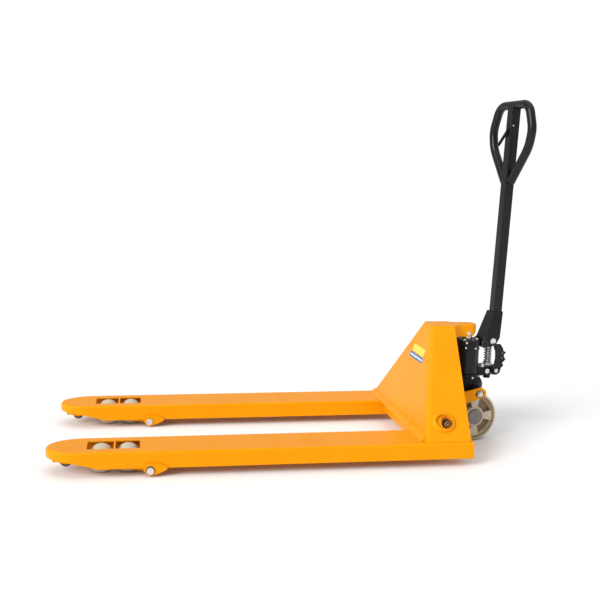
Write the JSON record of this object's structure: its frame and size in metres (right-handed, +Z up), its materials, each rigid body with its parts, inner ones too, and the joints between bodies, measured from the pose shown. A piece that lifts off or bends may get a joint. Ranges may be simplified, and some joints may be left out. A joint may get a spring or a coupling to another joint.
{
  "type": "pallet jack",
  "caption": "Hand pallet truck with two load forks, tandem load rollers, an A-frame, a hydraulic pump on steering wheels and a tall handle with a loop grip.",
  "frame": {"origin": "on the floor, at the plan centre of the whole truck's box", "axes": "+Z up, +Y from the fork tips towards the handle, +X towards the operator's left when facing the forks"},
  "size_m": [0.707, 1.6873, 1.2377],
  "materials": {
    "yellow_paint": "gloss powder coat",
    "black_paint": "satin powder coat",
    "black_casting": "painted casting",
    "zinc": "bright zinc",
    "ground_steel": "ground",
    "bronze": "sintered",
    "nylon": "cast nylon",
    "grey_cap": "moulded"
  },
  "bodies": {
    "frame": {"fork_left": "yellow_paint", "fork_right": "yellow_paint", "fork_underside_rails": "yellow_paint", "roller_bay_straps": "yellow_paint", "pivot_ears": "yellow_paint", "roller_frame_pivot_bolts": "zinc", "entry_roller_brackets": "yellow_paint", "a_frame_shell": "yellow_paint", "cross_member": "yellow_paint", "head_bracket": "yellow_paint", "lift_ram": "ground_steel", "rocker_shaft_bushes": "bronze"},
    "rocker": {"torque_shaft": "yellow_paint", "rocker_arms": "yellow_paint", "rocker_cranks": "yellow_paint", "shaft_end_nuts": "black_casting"},
    "carrier": {"carrier_ring": "black_casting", "carrier_bolts": "zinc"},
    "pump": {"pump_base": "black_casting", "rock_pin": "zinc", "thrust_bearing": "ground_steel", "dust_cover": "black_casting", "pump_reservoir": "black_paint", "ram_cylinder": "ground_steel", "pump_head": "black_casting", "pump_head_bolts": "zinc", "plunger_gland": "zinc", "valve_plugs": "zinc", "handle_pivot_pin": "zinc", "plunger_spring": "zinc", "release_lever_pin": "zinc"},
    "plunger": {"pump_plunger": "ground_steel"},
    "axle": {"steer_axle": "ground_steel"},
    "handle": {"handle_yoke": "black_paint", "handle_tube": "black_paint", "handle_loop": "black_paint", "press_roller_pin": "zinc", "lever_pin": "zinc"},
    "press_roller": {"press_roller": "ground_steel"},
    "control_lever": {"control_lever": "black_paint"},
    "control_rod": {"control_rod": "zinc"},
    "release_lever": {"release_lever": "black_paint"},
    "steer_wheel_left": {"steer_wheel_left": "nylon", "steer_bearings_left": "ground_steel", "hub_cap_left": "grey_cap"},
    "push_rod_left": {"push_rod_left": "yellow_paint"},
    "roller_frame_left": {"roller_frame_left": "yellow_paint"},
    "bogie_left": {"bogie_left": "yellow_paint"},
    "load_roller_left_front": {"load_roller_left_front": "nylon"},
    "load_roller_left_rear": {"load_roller_left_rear": "nylon"},
    "entry_roller_left": {"entry_roller_left": "nylon"},
    "steer_wheel_right": {"steer_wheel_right": "nylon", "steer_bearings_right": "ground_steel", "hub_cap_right": "grey_cap"},
    "push_rod_right": {"push_rod_right": "yellow_paint"},
    "roller_frame_right": {"roller_frame_right": "yellow_paint"},
    "bogie_right": {"bogie_right": "yellow_paint"},
    "load_roller_right_front": {"load_roller_right_front": "nylon"},
    "load_roller_right_rear": {"load_roller_right_rear": "nylon"},
    "entry_roller_right": {"entry_roller_right": "nylon"}
  },
  "joints": [
    {"name": "lift", "type": "slide", "parent": "frame", "child": "carrier", "axis": [0, 0, -1], "range_m": [0, 0.115]},
    {"name": "steer", "type": "hinge", "parent": "carrier", "child": "pump", "pos_m": [0, 0.6665, 0.09], "axis": [0, 0, 1], "range_deg": [-100, 80]},
    {"name": "axle_rock", "type": "hinge", "parent": "pump", "child": "axle", "pos_m": [0, 0.6665, 0.09], "axis": [-0.1736, 0.9848, 0], "range_deg": [-3, 3]},
    {"name": "handle_tilt", "type": "hinge", "parent": "pump", "child": "handle", "pos_m": [-0.00938, 0.71968, 0.35], "axis": [-0.9848, -0.1736, 0], "range_deg": [0, 60], "stiffness_Nm_per_rad": 12, "springref_deg": -40.11},
    {"name": "plunger_slide", "type": "slide", "parent": "pump", "child": "plunger", "axis": [0, 0, -1], "range_m": [0, 0.0378], "deforming": ["plunger_spring"]},
    {"name": "press_roller_spin", "type": "hinge", "parent": "handle", "child": "press_roller", "pos_m": [-0.01563, 0.75513, 0.358], "axis": [0.9848, 0.1736, 0], "continuous": true},
    {"name": "lever_squeeze", "type": "hinge", "parent": "handle", "child": "control_lever", "pos_m": [-0.02396, 0.8024, 1.14769], "axis": [0.9848, 0.1736, 0], "range_deg": [-6, 12], "stiffness_Nm_per_rad": 0.3},
    {"name": "control_rod_slide", "type": "slide", "parent": "handle", "child": "control_rod", "axis": [-0.008, 0.0455, 0.9989], "range_m": [-0.0022, 0.0043]},
    {"name": "release_swing", "type": "hinge", "parent": "pump", "child": "release_lever", "pos_m": [0.02417, 0.77129, 0.25], "axis": [0.9848, 0.1736, 0], "range_deg": [-6.1, 12.1]},
    {"name": "rocker_swing", "type": "hinge", "parent": "frame", "child": "rocker", "pos_m": [0, 0.4915, 0.137], "axis": [-1, 0, 0], "range_deg": [0, 34.64]},
    {"name": "steer_wheel_left_spin", "type": "hinge", "parent": "axle", "child": "steer_wheel_left", "pos_m": [0.05269, 0.67579, 0.09], "axis": [0.9848, 0.1736, 0], "continuous": true},
    {"name": "push_rod_left_level", "type": "hinge", "parent": "rocker", "child": "push_rod_left", "pos_m": [0.25, 0.51417, 0.06419], "axis": [1, 0, 0], "range_deg": [0, 34.64]},
    {"name": "roller_frame_left_swing", "type": "hinge", "parent": "frame", "child": "roller_frame_left", "pos_m": [0.2625, -0.5045, 0.022], "axis": [1, 0, 0], "range_deg": [0, 65.39]},
    {"name": "bogie_left_level", "type": "hinge", "parent": "roller_frame_left", "child": "bogie_left", "pos_m": [0.2625, -0.6195, 0.04], "axis": [-1, 0, 0], "range_deg": [0, 65.39]},
    {"name": "load_roller_left_front_spin", "type": "hinge", "parent": "bogie_left", "child": "load_roller_left_front", "pos_m": [0.2625, -0.663, 0.04], "axis": [1, 0, 0], "continuous": true},
    {"name": "load_roller_left_rear_spin", "type": "hinge", "parent": "bogie_left", "child": "load_roller_left_rear", "pos_m": [0.2625, -0.576, 0.04], "axis": [1, 0, 0], "continuous": true},
    {"name": "entry_roller_left_spin", "type": "hinge", "parent": "frame", "child": "entry_roller_left", "pos_m": [0.2625, -0.7745, 0.04], "axis": [1, 0, 0], "continuous": true},
    {"name": "steer_wheel_right_spin", "type": "hinge", "parent": "axle", "child": "steer_wheel_right", "pos_m": [-0.05269, 0.65721, 0.09], "axis": [0.9848, 0.1736, 0], "continuous": true},
    {"name": "push_rod_right_level", "type": "hinge", "parent": "rocker", "child": "push_rod_right", "pos_m": [-0.25, 0.51417, 0.06419], "axis": [1, 0, 0], "range_deg": [0, 34.64]},
    {"name": "roller_frame_right_swing", "type": "hinge", "parent": "frame", "child": "roller_frame_right", "pos_m": [-0.2625, -0.5045, 0.022], "axis": [1, 0, 0], "range_deg": [0, 65.39]},
    {"name": "bogie_right_level", "type": "hinge", "parent": "roller_frame_right", "child": "bogie_right", "pos_m": [-0.2625, -0.6195, 0.04], "axis": [-1, 0, 0], "range_deg": [0, 65.39]},
    {"name": "load_roller_right_front_spin", "type": "hinge", "parent": "bogie_right", "child": "load_roller_right_front", "pos_m": [-0.2625, -0.663, 0.04], "axis": [1, 0, 0], "continuous": true},
    {"name": "load_roller_right_rear_spin", "type": "hinge", "parent": "bogie_right", "child": "load_roller_right_rear", "pos_m": [-0.2625, -0.576, 0.04], "axis": [1, 0, 0], "continuous": true},
    {"name": "entry_roller_right_spin", "type": "hinge", "parent": "frame", "child": "entry_roller_right", "pos_m": [-0.2625, -0.7745, 0.04], "axis": [1, 0, 0], "continuous": true}
  ],
  "couplings": [
    {"joint": "plunger_slide", "follows": "handle_tilt", "m_per_rad": 0.036},
    {"joint": "control_rod_slide", "follows": "lever_squeeze", "m_per_rad": 0.02},
    {"joint": "release_swing", "follows": "lever_squeeze", "ratio": 1},
    {"joint": "rocker_swing", "follows": "lift", "rad_per_m": 5.2497},
    {"joint": "push_rod_left_level", "follows": "lift", "rad_per_m": 5.2497},
    {"joint": "roller_frame_left_swing", "follows": "lift", "rad_per_m": 9.9163},
    {"joint": "bogie_left_level", "follows": "lift", "rad_per_m": 9.9163},
    {"joint": "push_rod_right_level", "follows": "lift", "rad_per_m": 5.2497},
    {"joint": "roller_frame_right_swing", "follows": "lift", "rad_per_m": 9.9163},
    {"joint": "bogie_right_level", "follows": "lift", "rad_per_m": 9.9163}
  ]
}
